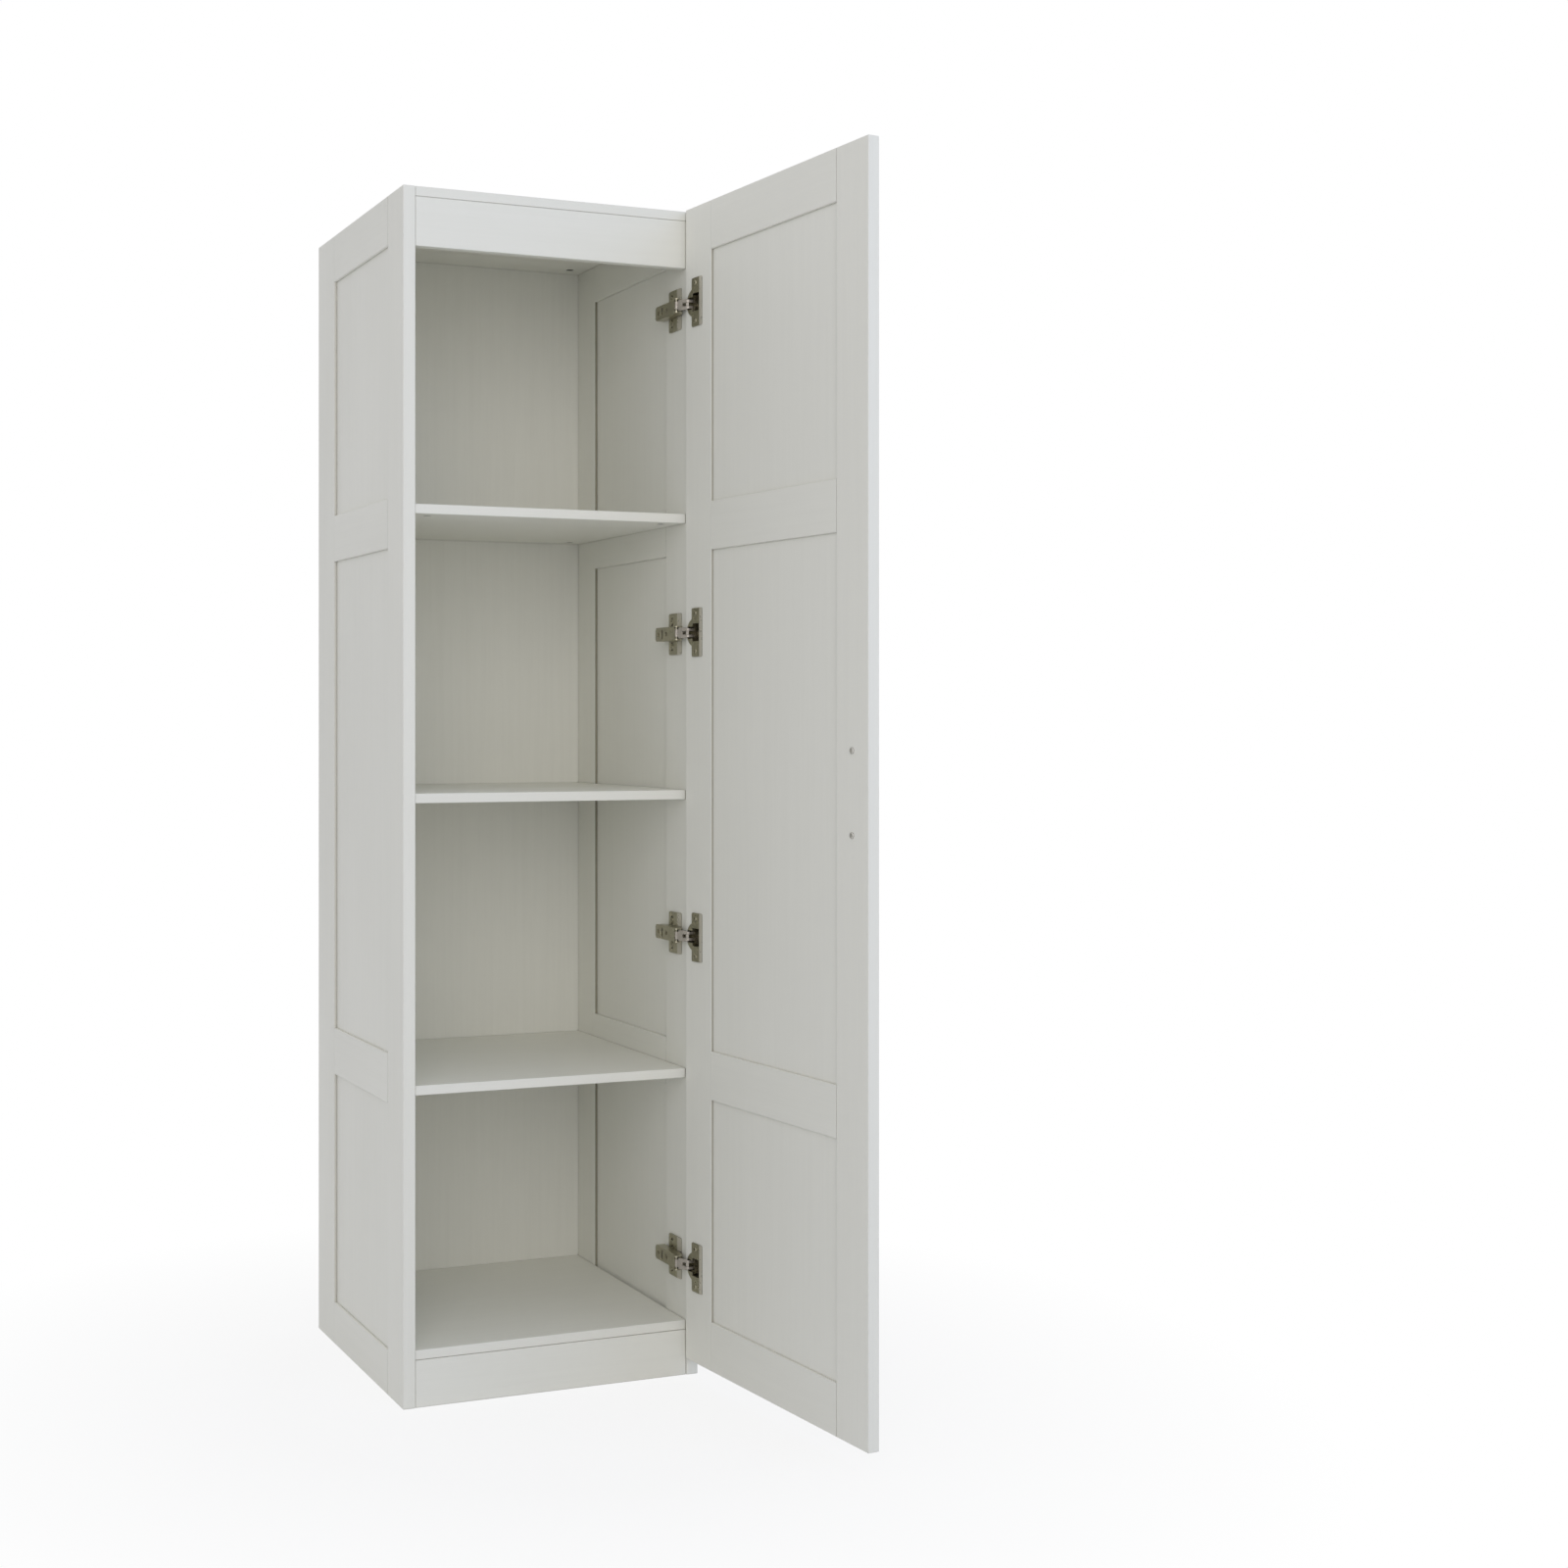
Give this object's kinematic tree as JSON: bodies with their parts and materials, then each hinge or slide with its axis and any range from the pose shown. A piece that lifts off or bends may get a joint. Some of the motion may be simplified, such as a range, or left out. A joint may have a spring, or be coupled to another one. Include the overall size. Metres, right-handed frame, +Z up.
{
  "type": "tall single-door storage cabinet",
  "caption": "Tall narrow free-standing storage cabinet with a panelled door on concealed hinges, shelves and a bar handle",
  "frame": {"origin": "centre of the cabinet's width on the floor, 7 mm behind the front faces of the side panels' edges, in the middle of the kickboard's thickness", "axes": "+Z up, +X to the right seen from the front, +Y from the front towards the back; the door stands open at 95 degrees at rest and points towards -Y"},
  "size_m": [0.4476, 0.7798, 1.5],
  "materials": {
    "paint": "satin white paint on board",
    "back": "matt white paint on thin board",
    "nickel": "satin nickel plate",
    "link": "bright zinc plate",
    "screw": "bright zinc plate",
    "black": "satin black powder coat"
  },
  "bodies": {
    "cabinet": {"back_panel": "back", "bottom_board": "paint", "header_board": "paint", "hinge_1_arm": "nickel", "hinge_1_plate": "nickel", "hinge_2_arm": "nickel", "hinge_2_plate": "nickel", "hinge_3_arm": "nickel", "hinge_3_plate": "nickel", "hinge_4_arm": "nickel", "hinge_4_plate": "nickel", "kickboard": "paint", "left_side_back_stile": "paint", "left_side_bottom_panel": "paint", "left_side_bottom_rail": "paint", "left_side_front_stile": "paint", "left_side_lower_rail": "paint", "left_side_middle_panel": "paint", "left_side_top_panel": "paint", "left_side_top_rail": "paint", "left_side_upper_rail": "paint", "right_side_back_stile": "paint", "right_side_bottom_panel": "paint", "right_side_bottom_rail": "paint", "right_side_front_stile": "paint", "right_side_lower_rail": "paint", "right_side_middle_panel": "paint", "right_side_top_panel": "paint", "right_side_top_rail": "paint", "right_side_upper_rail": "paint", "shelf_high": "paint", "shelf_low": "paint", "shelf_middle": "paint", "top_board": "paint"},
    "outer_links": {"hinge_1_outer_link": "link", "hinge_2_outer_link": "link", "hinge_3_outer_link": "link", "hinge_4_outer_link": "link"},
    "door": {"door_hinge_stile": "paint", "door_handle_stile": "paint", "door_top_rail": "paint", "door_upper_rail": "paint", "door_lower_rail": "paint", "door_bottom_rail": "paint", "door_top_panel": "paint", "door_middle_panel": "paint", "door_bottom_panel": "paint", "handle": "black", "handle_screw_low": "screw", "handle_screw_high": "screw", "hinge_1_cup": "nickel", "hinge_2_cup": "nickel", "hinge_3_cup": "nickel", "hinge_4_cup": "nickel"},
    "inner_links": {"hinge_1_inner_link": "link", "hinge_2_inner_link": "link", "hinge_3_inner_link": "link", "hinge_4_inner_link": "link"}
  },
  "joints": [
    {"name": "outer_link_swing", "type": "hinge", "parent": "cabinet", "child": "outer_links", "pos_m": [0.1689, -0.0086, 0.76175], "axis": [0, 0, 1], "range_deg": [-0.9, 16.2]},
    {"name": "door_swing", "type": "hinge", "parent": "outer_links", "child": "door", "pos_m": [0.18757, -0.02213, 0.76175], "axis": [0, 0, 1], "range_deg": [-111.15, 5.85]},
    {"name": "inner_link_swing", "type": "hinge", "parent": "cabinet", "child": "inner_links", "pos_m": [0.1758, -0.006, 0.76175], "axis": [0, 0, 1], "range_deg": [-2.5, 47.2]}
  ],
  "couplings": [
    {"joint": "outer_link_swing", "follows": "door_swing", "ratio": -0.1453},
    {"joint": "inner_link_swing", "follows": "door_swing", "ratio": -0.42393}
  ]
}
